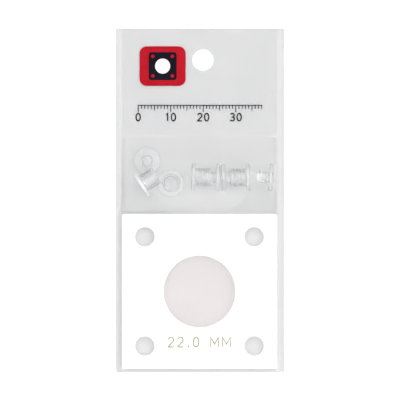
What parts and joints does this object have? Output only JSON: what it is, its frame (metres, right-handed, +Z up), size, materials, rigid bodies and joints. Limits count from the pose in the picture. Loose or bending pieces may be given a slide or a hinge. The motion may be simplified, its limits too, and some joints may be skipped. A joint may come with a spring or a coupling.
{
  "type": "coin holder kit",
  "caption": "Square coin holder kit: clear cover plates, a white plate with a round coin hole and loose clear plastic screws, in a clear hanging bag.",
  "frame": {"origin": "bottom centre of the bag's box, on the surface it lies on", "axes": "+Y from the pocket towards the header, +X to the right seen from the front, +Z up out of the front"},
  "size_m": [0.0516, 0.1054, 0.0092],
  "materials": {
    "film": "thin clear polypropylene film, glossy, faintly milky, wrinkled",
    "clear_acrylic": "clear polished acrylic sheet",
    "white_acrylic": "opaque white acrylic sheet with a gold stamped size mark",
    "clear_screw": "clear moulded plastic, glossy"
  },
  "bodies": {
    "bag": {"bag_back_film": "film", "bag_front_film": "film"},
    "rear_clear_plate": {"rear_clear_plate": "clear_acrylic"},
    "centre_coin_plate": {"centre_coin_plate": "white_acrylic"},
    "front_clear_plate": {"front_clear_plate": "clear_acrylic"},
    "screw_post_1": {"screw_post_1": "clear_screw"},
    "slotted_screw_1": {"slotted_screw_1": "clear_screw"},
    "screw_post_2": {"screw_post_2": "clear_screw"},
    "slotted_screw_2": {"slotted_screw_2": "clear_screw"},
    "slotted_screw_3": {"slotted_screw_3": "clear_screw"},
    "screw_post_3": {"screw_post_3": "clear_screw"},
    "slotted_screw_4": {"slotted_screw_4": "clear_screw"},
    "screw_post_4": {"screw_post_4": "clear_screw"}
  },
  "joints": [
    {"name": "rear_clear_plate_slide", "type": "slide", "parent": "bag", "child": "rear_clear_plate", "axis": [0, -1, 0], "range_m": [0, 0.05]},
    {"name": "centre_coin_plate_slide", "type": "slide", "parent": "bag", "child": "centre_coin_plate", "axis": [0, -1, 0], "range_m": [0, 0.05]},
    {"name": "front_clear_plate_slide", "type": "slide", "parent": "bag", "child": "front_clear_plate", "axis": [0, -1, 0], "range_m": [0, 0.05]},
    {"name": "screw_post_1_turn", "type": "hinge", "parent": "bag", "child": "screw_post_1", "pos_m": [-0.01843, 0.00438, 0.0045], "axis": [0.832, 0.5548, 0], "range_deg": [-180, 180]},
    {"name": "slotted_screw_1_turn", "type": "hinge", "parent": "bag", "child": "slotted_screw_1", "pos_m": [-0.01628, 0.01205, 0.0045], "axis": [0, 0, 1], "range_deg": [-180, 180]},
    {"name": "screw_post_2_turn", "type": "hinge", "parent": "bag", "child": "screw_post_2", "pos_m": [-0.00891, 0.0053, 0.0045], "axis": [0, 0, 1], "range_deg": [-180, 180]},
    {"name": "slotted_screw_2_turn", "type": "hinge", "parent": "bag", "child": "slotted_screw_2", "pos_m": [0.0224, 0.007, 0.0045], "axis": [-0.9976, 0.0698, 0], "range_deg": [-180, 180]},
    {"name": "screw_3_turn", "type": "hinge", "parent": "bag", "child": "slotted_screw_3", "pos_m": [0.00174, 0.0071, 0.0045], "axis": [0.9994, -0.0349, 0], "range_deg": [-361, 541.5]},
    {"name": "post_3_back_off", "type": "slide", "parent": "bag", "child": "screw_post_3", "axis": [-0.9994, 0.0349, 0], "range_m": [-0.001, 0.0015]},
    {"name": "screw_4_turn", "type": "hinge", "parent": "bag", "child": "slotted_screw_4", "pos_m": [0.01095, 0.007, 0.0045], "axis": [-0.9997, -0.0262, 0], "range_deg": [-361, 541.5]},
    {"name": "post_4_back_off", "type": "slide", "parent": "bag", "child": "screw_post_4", "axis": [0.9997, 0.0262, 0], "range_m": [-0.001, 0.0015]}
  ],
  "couplings": [
    {"joint": "screw_3_turn", "follows": "post_3_back_off", "rad_per_m": 6283.2},
    {"joint": "screw_4_turn", "follows": "post_4_back_off", "rad_per_m": 6283.2}
  ]
}
